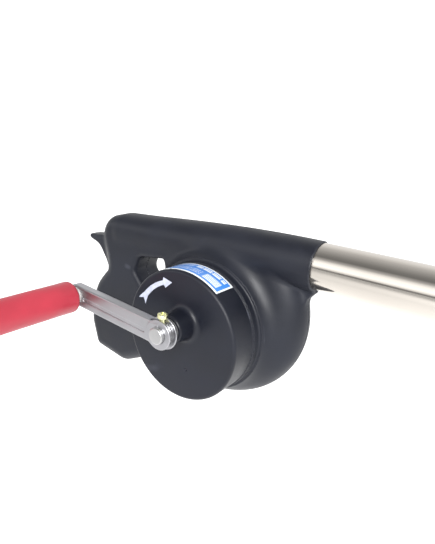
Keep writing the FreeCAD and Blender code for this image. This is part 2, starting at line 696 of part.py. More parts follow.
subpart("fan_washer", turned("fan_washer", sleeve("4.6", "fan_shaft_radius", "4.0", "4.8")))
nut_blank = doc.addObject("Part::Prism", "nut_blank")
nut_blank.Polygon = 6
nut_blank.Circumradius = 4.2
nut_blank.Height = 4.0
place(nut_blank, "fan_x", "4.8", "0", Rotation(Vector(1, 0, 0), -90))
subpart("fan_nut", cut("fan_nut", nut_blank, rod("fan_nut_bore", "fan_shaft_radius", "3", "9")))

# ---------------------------------------------------------------- crank

crank_shaft_body = turned("crank_shaft", [
    ("0", "shaft_tip"), ("shaft_radius - 0.7", "shaft_tip"), ("shaft_radius", "shaft_tip + 0.7"),
    ("shaft_radius", "shaft_end"), ("0", "shaft_end")])
subpart("crank_shaft", crank_shaft_body)
subpart("crank_bush", turned("crank_bush", sleeve(
    "shaft_radius + running + 1.9", "shaft_radius + running", "boss_y + 1.2", "face_y + wall + 2")))
subpart("crank_clip", turned("crank_clip", sleeve(
    "shaft_radius + 2.2", "shaft_radius", "boss_y - 1.3", "boss_y - 0.4")))


def along_arm(item_x, item_z):
    """A point given along and across the crank arm, in the body's frame."""
    angle = math.radians(value("crank_angle"))
    x = value("fan_x") + item_x * math.cos(angle) - item_z * math.sin(angle)
    z = item_x * math.sin(angle) + item_z * math.cos(angle)
    return x, z


def arm_outline(name, corners):
    return rounded_outline(name, [along_arm(u, v) + (radius,) for u, v, radius in corners])


GRIP_X = "fan_x + crank_reach * cos(crank_angle * 1 deg)"
GRIP_Z = "crank_reach * sin(crank_angle * 1 deg)"
reach = value("crank_reach")
half = value("arm_half")
thick = value("arm_sheet")
TOE = 6.2
arm_form = extruded("arm_form", arm_outline("arm_form_outline", [
    (0, half, 0), (reach + TOE, half, 5), (reach + TOE, -half, 5), (0, -half, 0)]), "arm_front",
    "arm_back - arm_front")
ear_front = rod("ear_front", "front_ear", "arm_front", "arm_sheet")
arm_edges = edge_fillet("arm_edges", arm_form, "0.9", lambda edge: lies_at(edge, value("arm_front"))
                        and edge.BoundBox.XMin < value("fan_x") - 1)
arm_pocket = extruded("arm_pocket", arm_outline("arm_pocket_outline", [
    (-12, half - thick, 0), (reach + TOE - thick, half - thick, 4), (reach + TOE - thick, thick - half, 4),
    (-12, thick - half, 0)]), "arm_front + arm_sheet", "20")
arm_relief = extruded("arm_relief", arm_outline("arm_relief_outline", [
    (-12, 12, 0), (8.5, 12, 0), (8.5, -12, 0), (-12, -12, 0)]), "arm_front + arm_sheet", "20")
ear_rear = rod("ear_rear", "rear_ear", "arm_back - arm_sheet", "arm_sheet")
ear_bridge = extruded("ear_bridge", arm_outline("ear_bridge_outline", [
    (0, half, 0), (16, half, 3), (16, -half, 3), (0, -half, 0)]), "arm_back - arm_sheet", "arm_sheet")
bead = extruded("bead", arm_outline("bead_outline", [
    (11, 2.3, 2.2), (58, 2.3, 2.2), (58, -2.3, 2.2), (11, -2.3, 2.2)]), "arm_front - 1", "1.5")
arm_pressed = cut("arm_pressed", fuse("arm_blank", [arm_edges, ear_front]), fuse(
    "arm_hollow", [arm_pocket, arm_relief]))
arm_solid = fuse("arm_solid", [arm_pressed, ear_rear, ear_bridge])
crank_arm = subpart("crank_arm", cut("crank_arm", arm_solid, fuse("arm_ways", [
    rod("shaft_way", "shaft_radius", "arm_front - 1", "8"),
    rod("grip_pin_way", "pin_radius", "arm_front - 1", "3", GRIP_X, GRIP_Z), bead])))

screw_y = "(arm_front + arm_back) / 2"
hub_collar_blank = turned("hub_collar_blank", sleeve(
    "collar_radius", "shaft_radius", "arm_front + arm_sheet", "arm_back - arm_sheet"))


def upright(name, radius, low, length):
    item = doc.addObject("Part::Cylinder", name)
    bind(item, "Radius", radius)
    bind(item, "Height", length)
    return place(item, "fan_x", screw_y, low)


hub_collar = subpart("hub_collar", cut("hub_collar", hub_collar_blank, upright(
    "set_screw_way", "1.4", "shaft_radius - 1", "5")))
screw_head = doc.addObject("Part::Cylinder", "set_screw_head")
screw_head.Radius = 2.5
screw_head.Height = 2.9
place(screw_head, "fan_x", screw_y, "rear_ear + 0.05")
head_round = edge_fillet("set_screw_round", screw_head, "1.1",
                         lambda edge: edge.BoundBox.ZMin > value("rear_ear") + 2.9)
shank = upright("set_screw_shank", "1.4", "shaft_radius", "rear_ear + 0.2 - shaft_radius")
cross = [block("set_screw_cross_%d" % i, ("fan_x - %s" % (a / 2), "%s - %s" % (screw_y, b / 2),
                                         "rear_ear + 1.6"), (str(a), str(b), "3"))
         for i, (a, b) in enumerate(((3.0, 0.7), (0.7, 3.0)))]
set_screw_solid = fuse("set_screw_solid", [head_round, shank])
set_screw = subpart("set_screw", cut("set_screw", set_screw_solid, fuse("set_screw_cross", cross)))

# ---------------------------------------------------------------- spinning grip

pin_head = rod("pin_head", "4.4", "arm_front + arm_sheet", "1.3", GRIP_X, GRIP_Z)
pin_rod = rod("pin_rod", "pin_radius", "grip_outer + 2.4", "arm_front + arm_sheet - grip_outer - 2.3",
              GRIP_X, GRIP_Z)
grip_pin = subpart("grip_pin", fuse("grip_pin", [pin_head, pin_rod]))
subpart("grip_washer", turned("grip_washer", sleeve(
    "5.2", "pin_radius", "grip_inner + 0.3", "arm_front"), GRIP_X, GRIP_Z))
red_grip = turned("red_grip", [
    ("pin_radius + running", "grip_inner"), ("grip_radius", "grip_inner"), ("grip_radius", "grip_outer"),
    ("6.0", "grip_outer"), ("6.0", "grip_outer + 4.6"), ("pin_radius + running", "grip_outer + 4.6")],
    GRIP_X, GRIP_Z)
rounded(red_grip, "red_grip_round", "grip_round", [
    ("grip_radius", "grip_inner"), ("grip_radius", "grip_outer")])
subpart("red_grip", red_grip)
subpart("grip_retainer", turned("grip_retainer", sleeve(
    "5.4", "pin_radius", "grip_outer + 3.3", "grip_outer + 4.2"), GRIP_X, GRIP_Z))
grip_cap_body = turned("grip_cap", [
    ("0", "grip_outer + 0.2"), ("6.0", "grip_outer + 0.2"), ("6.0", "grip_outer + 1.9"),
    ("0", "grip_outer + 1.9")], GRIP_X, GRIP_Z)
subpart("grip_cap", grip_cap_body)

# ---------------------------------------------------------------- screws

def tapping_screw(name, head_y, tip_y, x, z):
    """A pan-head screw whose head faces +Y."""
    return turned(name, [
        ("0", head_y), ("head_radius", head_y), ("head_radius", head_y + " - 1.6"),
        ("screw_radius", head_y + " - 1.6"), ("screw_radius", tip_y + " + 1.5"), ("0", tip_y)], x, z)


body_screws = [tapping_screw("body_screw_%d" % i, "slab_half - 2.4", "-7.0", str(x), str(z))
               for i, (x, z) in enumerate(BODY_SCREWS)]
subpart("body_screws", fuse("body_screws", body_screws))
cover_screws = [tapping_screw("cover_screw_%d" % i, "-casing_round + wall - 0.4", "plate_y - 7.5",
                              *on_post_circle(angle)) for i, angle in enumerate(COVER_POST_ANGLES)]
subpart("cover_screws", fuse("cover_screws", cover_screws))

subpart("pipe_screw", tapping_screw(
    "pipe_screw", "socket_radius + 1.7", "pipe_radius - pipe_wall + 0.1", "pipe_screw_x", "pipe_z"))

# ---------------------------------------------------------------- print and label

def polar(radius, degrees, y):
    angle = math.radians(degrees)
    return Vector(value("drum_x") + radius * math.cos(angle), y, value("drum_z") + radius * math.sin(angle))


ARROW_MID = 31.6
ARROW_HALF = 1.35
ARROW_TAIL = 153.0
ARROW_NECK = 112.5
ARROW_TIP = 101.0
print_y = value("face_y") - 0.12
tip = polar(ARROW_MID - 0.3, ARROW_TIP, print_y)
outer = ARROW_MID + ARROW_HALF
inner = ARROW_MID - ARROW_HALF
middle = (ARROW_TAIL + ARROW_NECK) / 2
arrow_edges = [
    Part.Arc(polar(outer, ARROW_TAIL - 4, print_y), polar(outer, middle, print_y),
             polar(outer, ARROW_NECK, print_y)).toShape(),
    Part.makePolygon([
        polar(outer, ARROW_NECK, print_y), polar(ARROW_MID + 3.4, ARROW_NECK - 0.5, print_y), tip,
        polar(ARROW_MID - 3.3, ARROW_NECK + 0.5, print_y), polar(inner, ARROW_NECK, print_y)]),
    Part.Arc(polar(inner, ARROW_NECK, print_y), polar(inner, middle, print_y),
             polar(inner, ARROW_TAIL - 4, print_y)).toShape(),
    Part.makePolygon([
        polar(inner, ARROW_TAIL - 4, print_y), polar(ARROW_MID - 3.2, ARROW_TAIL + 2, print_y),
        polar(ARROW_MID - 1.0, ARROW_TAIL, print_y), polar(ARROW_MID + 3.0, ARROW_TAIL + 0.5, print_y),
        polar(outer, ARROW_TAIL - 4, print_y)]),
]
arrow_outline = doc.addObject("Part::Feature", "arrow_outline")
loose = [edge for shape in arrow_edges for edge in shape.Edges]
arrow_outline.Shape = Part.Face(Part.Wire(Part.__sortEdges__(loose)))
subpart("direction_arrow", extruded("direction_arrow", arrow_outline, "0", "0.12"))

label_start = 54.0
label_end = 112.0
label_ring = turned("label_ring", sleeve("drum_radius + 0.2", "drum_radius", "face_y + 1.8", "seam_y - 1.2"),
                    "drum_x", "drum_z")
label_sector = doc.addObject("Part::Feature", "label_sector_outline")
spread = 60.0
label_sector.Shape = Part.Face(Part.makePolygon([
    polar(0, 0, -50), polar(spread, label_start, -50),
    polar(spread * 1.5, (label_start + label_end) / 2, -50), polar(spread, label_end, -50),
    polar(0, 0, -50)]))
subpart("label", common("label", label_ring, extruded("label_sector", label_sector, "0", "40")))

# ---------------------------------------------------------------- checks and files

def check(item):
    if "Invalid" in item.State or "Error" in item.State:
        raise RuntimeError("%s did not recompute: %s" % (item.Name, item.State))


doc.recompute()
for item in doc.Objects:
    check(item)
os.makedirs("parts", exist_ok=True)
for item in SUBPARTS:
    if item.Shape.isNull() or not item.Shape.isValid():
        raise RuntimeError("%s has no valid shape" % item.Label)
    item.Shape.exportStep("parts/%s.step" % item.Label)
    print(item.Label, len(item.Shape.Solids), round(item.Shape.Volume, 1))
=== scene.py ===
import json
import math

import bmesh
import bpy
import numpy as np
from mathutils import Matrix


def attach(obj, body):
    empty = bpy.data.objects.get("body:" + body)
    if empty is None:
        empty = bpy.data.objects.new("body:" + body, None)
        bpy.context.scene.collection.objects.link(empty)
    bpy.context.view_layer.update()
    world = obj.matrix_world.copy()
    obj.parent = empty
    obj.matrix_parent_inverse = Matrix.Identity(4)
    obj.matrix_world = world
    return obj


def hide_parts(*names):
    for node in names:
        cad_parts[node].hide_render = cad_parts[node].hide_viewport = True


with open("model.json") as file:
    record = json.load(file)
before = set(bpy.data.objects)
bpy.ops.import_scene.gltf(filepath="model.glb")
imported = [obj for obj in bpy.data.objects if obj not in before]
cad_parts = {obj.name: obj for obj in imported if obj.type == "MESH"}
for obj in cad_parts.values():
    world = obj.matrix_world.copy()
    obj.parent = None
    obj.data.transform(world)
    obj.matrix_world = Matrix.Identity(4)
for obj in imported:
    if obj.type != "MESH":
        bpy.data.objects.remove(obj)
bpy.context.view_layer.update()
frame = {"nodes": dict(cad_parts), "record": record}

import openvdb
from mathutils import Matrix, Vector

# Looks for the hand-crank air blower. Lengths in this file are millimetres, in the frame of the CAD
# part, and are turned into metres when a mesh is made. The moulded pieces and the pressed arm are
# solids given by a distance function, negative inside, and the turned pieces are lathed from profiles.

MM = 0.001
FAN_X = 91.4
CASING_FLAT = 42.5
CASING_ROUND = 12.5
CASING_TOP = 37.0
WALL = 2.4
INLET_RADIUS = 25.05
INLET_RIM = 28.5
DUCT_Z = 36.0
DUCT_RADIUS = 10.6
DUCT_MIDDLE = 97.3
DUCT_HALF = 27.3
DRUM_X = 88.0
DRUM_Z = -8.8
DRUM_RADIUS = 38.6
DRUM_LIP = 39.2
DRUM_BORE = 35.6
DRUM_BASE = 39.5
SEAT_RADIUS = 36.9
SLEEVE_WAY = 6.1
FACE_Y = -43.4
SEAM_Y = -24.9
STEP_Y = -18.4
BOSS_Y = -55.4
SLAB_HALF = 12.5
SLAB_EDGE = 8.8
HORN_FILLET = 4.8
SHOULDER_FILLET = 16.0
HOLE_EDGE = 4.0
WELL_RADIUS = 3.3
WELL_FLOOR = 8.6
PIPE_Z = 38.3
PIPE_RADIUS = 13.0
PIPE_BORE = 12.2
NECK_RADIUS = 12.7
PIPE_START = 124.0
SOCKET_START = 123.5
NECK_END = 149.0
PIPE_END = 268.0
SOCKET_END = 148.25
CRANK_REACH = 66.9
CRANK_ANGLE = math.radians(176.7)
ARM_FRONT = -64.2
ARM_BACK = -59.0
ARM_SHEET = 1.1
ARM_HALF = 6.3
SHAFT_RADIUS = 4.6
SHAFT_TIP = -66.4
SHAFT_BACK = -32.6
HUB_MIDDLE = -61.6
FRONT_EAR = 8.3
REAR_EAR = 9.2
GRIP_INNER = -67.0
GRIP_OUTER = -145.6
GRIP_RADIUS = 9.3
GRIP_BORE = 3.04
CAP_RECESS = 6.0
GRIP_X = FAN_X + CRANK_REACH * math.cos(CRANK_ANGLE)
GRIP_Z = CRANK_REACH * math.sin(CRANK_ANGLE)

# ---------------------------------------------------------------- distance functions


def rounded_outline(corners, closed=True, step=math.radians(7)):
    """A polyline with each (u, v, radius) corner replaced by points on a tangent arc."""
    points = []
    count = len(corners)
    for index, (u, v, radius) in enumerate(corners):
        here = np.array((u, v), float)
        if radius == 0 or (not closed and index in (0, count - 1)):
            points.append(here)
            continue
        before = np.array(corners[index - 1][:2], float) - here
        after = np.array(corners[(index + 1) % count][:2], float) - here
        before /= np.linalg.norm(before)
        after /= np.linalg.norm(after)
        half = math.acos(np.clip(before @ after, -1, 1)) / 2
        middle = before + after
        centre = here + middle / np.linalg.norm(middle) * radius / math.sin(half)
        start = here + before * radius / math.tan(half) - centre
        end = here + after * radius / math.tan(half) - centre
        turn = math.atan2(start[0] * end[1] - start[1] * end[0], start @ end)
        pieces = max(2, math.ceil(abs(turn) / step))
        for k in range(pieces + 1):
            angle = turn * k / pieces
            c, s = math.cos(angle), math.sin(angle)
            points.append(centre + np.array((start[0] * c - start[1] * s, start[0] * s + start[1] * c)))
    return np.array(points)


def polygon(u, v, points):
    """Distance to a closed polyline, negative inside."""
    shape = np.shape(u)
    u = np.ravel(u)
    v = np.ravel(v)
    nearest = np.full(u.shape, 1e9)
    sign = np.ones(u.shape)
    for a, b in zip(points, np.roll(points, -1, axis=0)):
        edge = b - a
        pu = u - a[0]
        pv = v - a[1]
        along = np.clip((pu * edge[0] + pv * edge[1]) / (edge @ edge), 0, 1)
        nearest = np.minimum(nearest, (pu - edge[0] * along) ** 2 + (pv - edge[1] * along) ** 2)
        above_a = v >= a[1]
        above_b = v < b[1]
        left = edge[0] * pv > edge[1] * pu
        flip = (above_a & above_b & left) | (~above_a & ~above_b & ~left)
        sign = np.where(flip, -sign, sign)
    return (sign * np.sqrt(nearest)).reshape(shape)


def join(a, b, k):
    """Union, with a fillet about as wide as k."""
    h = np.clip(0.5 + 0.5 * (b - a) / k, 0, 1)
    return b + (a - b) * h - k * h * (1 - h)


def both(a, b, k):
    """Intersection, with the edge eased over k."""
    return -join(-a, -b, k)


def pulled(outline, across, half, edge):
    """An outline pulled to plus and minus half, with its edges rounded to the radius edge."""
    u = outline + edge
    v = np.abs(across) - half + edge
    outside = np.hypot(np.maximum(u, 0), np.maximum(v, 0))
    return np.minimum(np.maximum(u, v), 0) + outside - edge


SLAB = rounded_outline((
    (80.0, 43.2, 0), (-20.0, 41.4, 15), (-9.0, 3.2, 8), (-23.5, -13.6, 30), (-28.6, -42.0, 24),
    (-21.2, -64.1, 7), (8.8, -68.4, 12), (70.0, -37.2, 0), (86.0, 0.0, 0)))
HOLE = rounded_outline((
    (23.6, 17.4, 5), (45.4, 20.8, 2.5), (49.0, 15.6, 3), (46.0, 1.0, 40), (48.5, -14.0, 2),
    (41.0, -17.0, 6), (19.6, 6.6, 5)))
HORN_SIDE = rounded_outline((
    (-6.0, 26.0, 0), (-36.2, 21.7, 0.8), (-36.0, 19.7, 0.8), (-22.0, 16.6, 12), (-12.0, 4.0, 0),
    (-6.0, 4.0, 0)))
HORN_PLAN = rounded_outline((
    (-6.0, 7.6, 0), (-20.0, 7.0, 20), (-36.2, 5.6, 5), (-36.2, -5.6, 5), (-20.0, -7.0, 20),
    (-6.0, -7.6, 0)))
GUSSET = rounded_outline((
    (118.0, 30.0, 0), (149.6, 24.3, 0.5), (144.8, 18.6, 3), (138.0, 6.0, 0), (118.0, 6.0, 0)))
BARREL_X = (4.0, 35.0, 65.0, 95.0, 120.0, 148.25)
BARREL_HEIGHT = np.polyfit(BARREL_X, (31.1, 33.7, 35.5, 36.8, 37.6, 38.0), 3)
BARREL_RADIUS = np.polyfit(BARREL_X, (11.8, 12.3, 12.8, 13.6, 14.0, 13.9), 3)
BODY_SCREWS = ((-11.0, -53.0), (-3.0, 26.0), (30.0, -44.0), (46.0, 35.0))


def body(x, y, z):
    """The whole moulded body, both halves together."""
    shape = pulled(polygon(x, z, SLAB), y, SLAB_HALF, SLAB_EDGE)
    along = np.clip(x, BARREL_X[0], BARREL_X[-1])
    height = np.polyval(BARREL_HEIGHT, along)
    barrel = np.hypot(y, z - height) - np.polyval(BARREL_RADIUS, along)
    barrel = both(barrel, BARREL_X[0] - 4 - x, 6.0)
    shape = join(shape, barrel, 4.0)
    horn = both(polygon(x, z, HORN_SIDE), polygon(x, y, HORN_PLAN), 1.6)
    shape = join(shape, horn, HORN_FILLET)

    from_fan = np.hypot(x - FAN_X, z)
    casing = np.hypot(np.maximum(from_fan - CASING_FLAT, 0), y) - CASING_ROUND
    casing = both(casing, z - CASING_TOP, 5.0)
    hole = polygon(x, z, HOLE)
    from_drum = np.hypot(x - DRUM_X, z - DRUM_Z)
    base = np.maximum(from_drum - DRUM_BASE, np.maximum(STEP_Y - y, y + 2.0))
    casing = join(casing, base, SHOULDER_FILLET)
    shape = join(shape, casing, 2.2)
    shape = join(shape, pulled(polygon(x, z, GUSSET), y, 3.5, 1.0), 3.0)
    ring = both(from_fan - INLET_RIM, np.abs(y - 7.3) - 7.3, 1.4)
    shape = join(shape, ring, 1.5)
    shape = both(shape, -hole, HOLE_EDGE)
    collar = np.maximum(from_drum - DRUM_LIP, np.maximum(SEAM_Y + 0.15 - y, y + 14.0))
    shape = join(shape, collar, 1.6)
    shape = both(shape, x - SOCKET_END, 0.35)

    chamber = np.hypot(np.maximum(from_fan - CASING_FLAT, 0), y) - CASING_ROUND + WALL
    chamber = np.maximum(chamber, z - CASING_TOP + WALL)
    chamber = np.maximum(chamber, WALL - hole)
    duct = np.maximum(np.hypot(y, z - DUCT_Z) - DUCT_RADIUS, np.abs(x - DUCT_MIDDLE) - DUCT_HALF)
    socket = np.maximum(np.hypot(y, z - PIPE_Z) - PIPE_BORE - 0.1, SOCKET_START - x)
    gear_room = np.maximum(from_drum - DRUM_BORE, np.abs(y + 21.0) - 8.5)
    seat = np.maximum(from_drum - SEAT_RADIUS, y + 22.4)
    inlet = np.maximum(from_fan - INLET_RADIUS, -y)
    sleeve_way = np.maximum(from_fan - SLEEVE_WAY, np.abs(y + 10.0) - 4.0)
    for way in (chamber, duct, socket, gear_room, seat, inlet, sleeve_way):
        shape = np.maximum(shape, -way)
    for screw_x, screw_z in BODY_SCREWS:
        well = np.maximum(np.hypot(x - screw_x, z - screw_z) - WELL_RADIUS, WELL_FLOOR - y)
        shape = both(shape, -well, 0.8)
    return shape


def front_half(x, y, z):
    """The half of the body towards the crank, eased a little at the seam."""
    return both(body(x, y, z), y + 0.05, 0.2)


def rear_half(x, y, z):
    """The half of the body with the air inlet."""
    return both(body(x, y, z), 0.05 - y, 0.2)


def cover(x, y, z):
    """The gear case cover: a shallow can, and the bearing boss that stands off its axis."""
    edge = 1.9
    from_drum = np.hypot(x - DRUM_X, z - DRUM_Z)
    from_fan = np.hypot(x - FAN_X, z)
    u = from_drum - DRUM_RADIUS + edge
    v = FACE_Y - y + edge
    can = np.minimum(np.maximum(u, v), 0) + np.hypot(np.maximum(u, 0), np.maximum(v, 0)) - edge
    lip = np.maximum(from_drum - DRUM_LIP, SEAM_Y - 0.9 - y)
    can = join(can, lip, 0.5)
    can = both(can, y - SEAM_Y + 0.1, 0.4)
    up = np.clip((FACE_Y - y) / (FACE_Y - BOSS_Y), -0.2, 1.1)
    boss = both(from_fan - 9.0 + 1.2 * up, BOSS_Y - y, 1.6)
    boss = np.maximum(boss, y - FACE_Y - 1.0)
    can = join(can, boss, 3.4)
    inside = np.maximum(from_drum - DRUM_BORE, FACE_Y + WALL - y)
    seat = np.maximum(from_drum - 36.6, SEAM_Y - 2.0 - y)
    mouth = from_fan - SHAFT_RADIUS - 0.3
    bush_way = np.maximum(from_fan - 6.54, BOSS_Y + 1.2 - y)
    dimple = np.sqrt((x - DRUM_X - 6.9) ** 2 + (y - FACE_Y) ** 2 + (z - DRUM_Z + 18.6) ** 2) - 0.85
    for way in (inside, seat, mouth, bush_way):
        can = both(can, -way, 0.35)
    return both(can, -dimple, 0.3)


ARM_OUTLINE = rounded_outline((
    (-2.0, ARM_HALF, 0), (CRANK_REACH + 6.2, ARM_HALF, 5.6), (CRANK_REACH + 6.2, -ARM_HALF, 5.6),
    (-2.0, -ARM_HALF, 0)))
GROOVE = rounded_outline(((10.0, 2.1, 1.0), (60.0, 1.7, 0.8), (60.0, -0.1, 0.8), (10.0, 0.1, 1.0)))


def arm(x, y, z):
    """The pressed-steel arm: a channel with rolled edges, and two round ears at the hub."""
    c, s = math.cos(CRANK_ANGLE), math.sin(CRANK_ANGLE)
    along = (x - FAN_X) * c + z * s
    across = -(x - FAN_X) * s + z * c
    depth = y - ARM_FRONT
    thick = ARM_BACK - ARM_FRONT
    outline = polygon(along, across, ARM_OUTLINE)
    u = outline + 1.0
    v = 1.0 - depth
    skin = np.minimum(np.maximum(u, v), 0) + np.hypot(np.maximum(u, 0), np.maximum(v, 0)) - 1.0
    skin = both(skin, depth - thick, 0.3)
    pocket = np.maximum(outline + ARM_SHEET, ARM_SHEET - depth)
    pocket = np.maximum(pocket, 7.0 - along)
    channel = both(skin, -pocket, 0.4)
    from_hub = np.hypot(along, across)
    front_ear = pulled(from_hub - FRONT_EAR, depth - ARM_SHEET / 2, ARM_SHEET / 2, 0.45)
    rear_ear = pulled(from_hub - REAR_EAR, depth - thick + ARM_SHEET / 2, ARM_SHEET / 2, 0.45)
    relief = np.maximum(np.abs(depth - thick / 2) - thick / 2 + ARM_SHEET, along - 7.2)
    channel = np.maximum(channel, -relief)
    channel = np.maximum(channel, 1.0 - along)
    shape = join(channel, front_ear, 0.8)
    shape = join(shape, rear_ear, 0.5)
    groove = np.maximum(polygon(along, across, GROOVE), depth - 0.5)
    shape = both(shape, -groove, 0.7)
    shape = np.maximum(shape, SHAFT_RADIUS - from_hub)
    return np.maximum(shape, 3.0 - np.hypot(along - CRANK_REACH, across))


# ---------------------------------------------------------------- mesh makers

COLLECTION = bpy.context.scene.collection


def add_object(name, mesh, finish, body_name, slot, *replaced):
    """Links a mesh as a piece that rides on a body, has a material slot and replaces the named CAD nodes."""
    thing = bpy.data.objects.new(name, mesh)
    COLLECTION.objects.link(thing)
    for item in finish if isinstance(finish, tuple) else (finish,):
        mesh.materials.append(item)
    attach(thing, body_name)
    if replaced:
        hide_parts(*replaced)
    return thing


def gradient(shape, points, reach=0.05):
    """The slope of a distance function at each point, by central differences."""
    result = np.zeros_like(points)
    for axis in range(3):
        step = np.zeros(3)
        step[axis] = reach
        result[:, axis] = shape(*(points + step).T) - shape(*(points - step).T)
    return result / (2 * reach)


def solid(name, shape, low, high, voxel):
    """A mesh of the surface where a distance function is zero, with its vertices moved onto it."""
    axes = [np.arange(a, b + voxel, voxel) for a, b in zip(low, high)]
    x, y, z = np.meshgrid(*axes, indexing="ij")
    field = np.asarray(shape(x, y, z), np.float32)
    grid = openvdb.FloatGrid(4 * voxel)
    grid.copyFromArray(np.clip(field, -4 * voxel, 4 * voxel))
    points, quads = grid.convertToQuads(0.0)
    points = points.astype(float) * voxel + np.array(low)
    for _ in range(2):
        slope = gradient(shape, points)
        distance = shape(*points.T)
        size = np.maximum((slope ** 2).sum(1), 0.25)
        move = slope * (distance / size)[:, None]
        length = np.linalg.norm(move, axis=1)
        points -= move * np.minimum(1, 0.35 * voxel / np.maximum(length, 1e-9))[:, None]
    normals = gradient(shape, points, 0.12)
    normals /= np.maximum(np.linalg.norm(normals, axis=1), 1e-9)[:, None]
    mesh = bpy.data.meshes.new(name)
    faces = quads[:, ::-1] if facing(points, quads, normals) < 0 else quads
    mesh.from_pydata((points * MM).tolist(), [], faces.tolist())
    mesh.validate()
    mesh.shade_smooth()
    mesh.normals_split_custom_set_from_vertices(normals.tolist())
    return mesh


def facing(points, quads, normals):
    """Above zero when most faces look the way the normals point."""
    a, b, c = (points[quads[:, k]] for k in (0, 1, 2))
    return float(np.sum(np.cross(b - a, c - a) * normals[quads[:, 0]]))


def lathe(name, profile, x, z, along="Y", segments=96, closed=True, wobble=None):
    """A turned piece. The profile is (radius, position, corner radius), as a closed loop or open."""
    outline = rounded_outline(profile, closed, math.radians(12))
    mesh = bpy.data.meshes.new(name)
    work = bmesh.new()
    rings = []
    for radius, position in outline:
        ring = []
        for k in range(segments):
            angle = 2 * math.pi * k / segments
            reach = max(radius, 0.0)
            if wobble:
                reach += wobble(angle, position, reach)
            a, b = reach * math.cos(angle), reach * math.sin(angle)
            place = {"X": (position, a, z + b), "Y": (x + a, position, z + b)}[along]
            ring.append(work.verts.new(Vector(place) * MM))
        rings.append(ring)
    pairs = list(zip(rings, rings[1:] + rings[:1])) if closed else list(zip(rings, rings[1:]))
    for first, second in pairs:
        for k in range(segments):
            n = (k + 1) % segments
            work.faces.new((first[k], first[n], second[n], second[k]))
    bmesh.ops.remove_doubles(work, verts=work.verts, dist=1e-7)
    bmesh.ops.recalc_face_normals(work, faces=work.faces)
    work.to_mesh(mesh)
    work.free()
    mesh.shade_smooth()
    mesh.set_sharp_from_angle(angle=math.radians(32))
    return mesh


# ---------------------------------------------------------------- materials


def material(name, colour, rough, metal=0.0, grain=(1400, 0.05), cloud=(45, 0.10), tone=0.10,
             wear=0.0, streak=None, coat=0.0, specular=0.5, scratch=0.0):
    """A procedural finish: fine grain in the bump, cloudy roughness and tone, scratches and worn edges."""
    result = bpy.data.materials.new(name)
    result.use_nodes = True
    nodes = result.node_tree.nodes
    links = result.node_tree.links
    shader = nodes["Principled BSDF"]
    shader.inputs["Metallic"].default_value = metal
    shader.inputs["Coat Weight"].default_value = coat
    shader.inputs["Coat Roughness"].default_value = 0.25
    shader.inputs["Specular IOR Level"].default_value = specular
    where = nodes.new("ShaderNodeTexCoord").outputs["Object"]

    def noise(scale, detail, source=where):
        item = nodes.new("ShaderNodeTexNoise")
        item.inputs["Scale"].default_value = scale
        item.inputs["Detail"].default_value = detail
        links.new(source, item.inputs["Vector"])
        return item.outputs["Fac"]

    def ranged(source, low, high, start=0.3, end=0.7):
        item = nodes.new("ShaderNodeMapRange")
        for key, number in (("From Min", start), ("From Max", end), ("To Min", low), ("To Max", high)):
            item.inputs[key].default_value = number
        links.new(source, item.inputs["Value"])
        return item.outputs["Result"]

    def blend(factor, first, second):
        item = nodes.new("ShaderNodeMix")
        item.data_type = "RGBA"
        links.new(factor, item.inputs["Factor"])
        for socket, source in ((item.inputs[6], first), (item.inputs[7], second)):
            if isinstance(source, tuple):
                socket.default_value = source
            else:
                links.new(source, socket)
        return item.outputs[2]

    dark = tuple(c * (1 - tone) for c in colour) + (1,)
    light = tuple(min(1, c * (1 + tone)) for c in colour) + (1,)
    clouds = noise(cloud[0], 5)
    shade = blend(ranged(clouds, 0, 1), dark, light)
    fine = noise(grain[0], 3)
    roughness = ranged(clouds, rough - cloud[1], rough + cloud[1])
    bump_source = fine
    if streak:
        mapping = nodes.new("ShaderNodeMapping")
        mapping.inputs["Scale"].default_value = streak
        links.new(where, mapping.inputs["Vector"])
        lines = noise(1.0, 6, mapping.outputs["Vector"])
        add = nodes.new("ShaderNodeMath")
        add.operation = "ADD"
        links.new(ranged(lines, -0.07, 0.07), add.inputs[0])
        links.new(roughness, add.inputs[1])
        roughness = add.outputs[0]
        bump_source = lines
    if scratch:
        mapping = nodes.new("ShaderNodeMapping")
        mapping.inputs["Rotation"].default_value = (0.5, 0.9, 0.3)
        mapping.inputs["Scale"].default_value = (30, 900, 60)
        links.new(where, mapping.inputs["Vector"])
        marks = ranged(noise(1.0, 2, mapping.outputs["Vector"]), 0, 1, 0.70, 0.76)
        pale = tuple(min(1, c * (1 + 4 * scratch) + 0.05 * scratch) for c in colour) + (1,)
        shade = blend(marks, shade, pale)
    if wear:
        edge = nodes.new("ShaderNodeNewGeometry").outputs["Pointiness"]
        worn = ranged(edge, 0, wear, 0.53, 0.60)
        shade = blend(worn, shade, tuple(min(1, c * 1.6 + 0.03) for c in colour) + (1,))
    bump = nodes.new("ShaderNodeBump")
    bump.inputs["Strength"].default_value = grain[1]
    bump.inputs["Distance"].default_value = 0.0004
    links.new(bump_source, bump.inputs["Height"])
    links.new(bump.outputs["Normal"], shader.inputs["Normal"])
    links.new(shade, shader.inputs["Base Color"])
    links.new(roughness, shader.inputs["Roughness"])
    return result


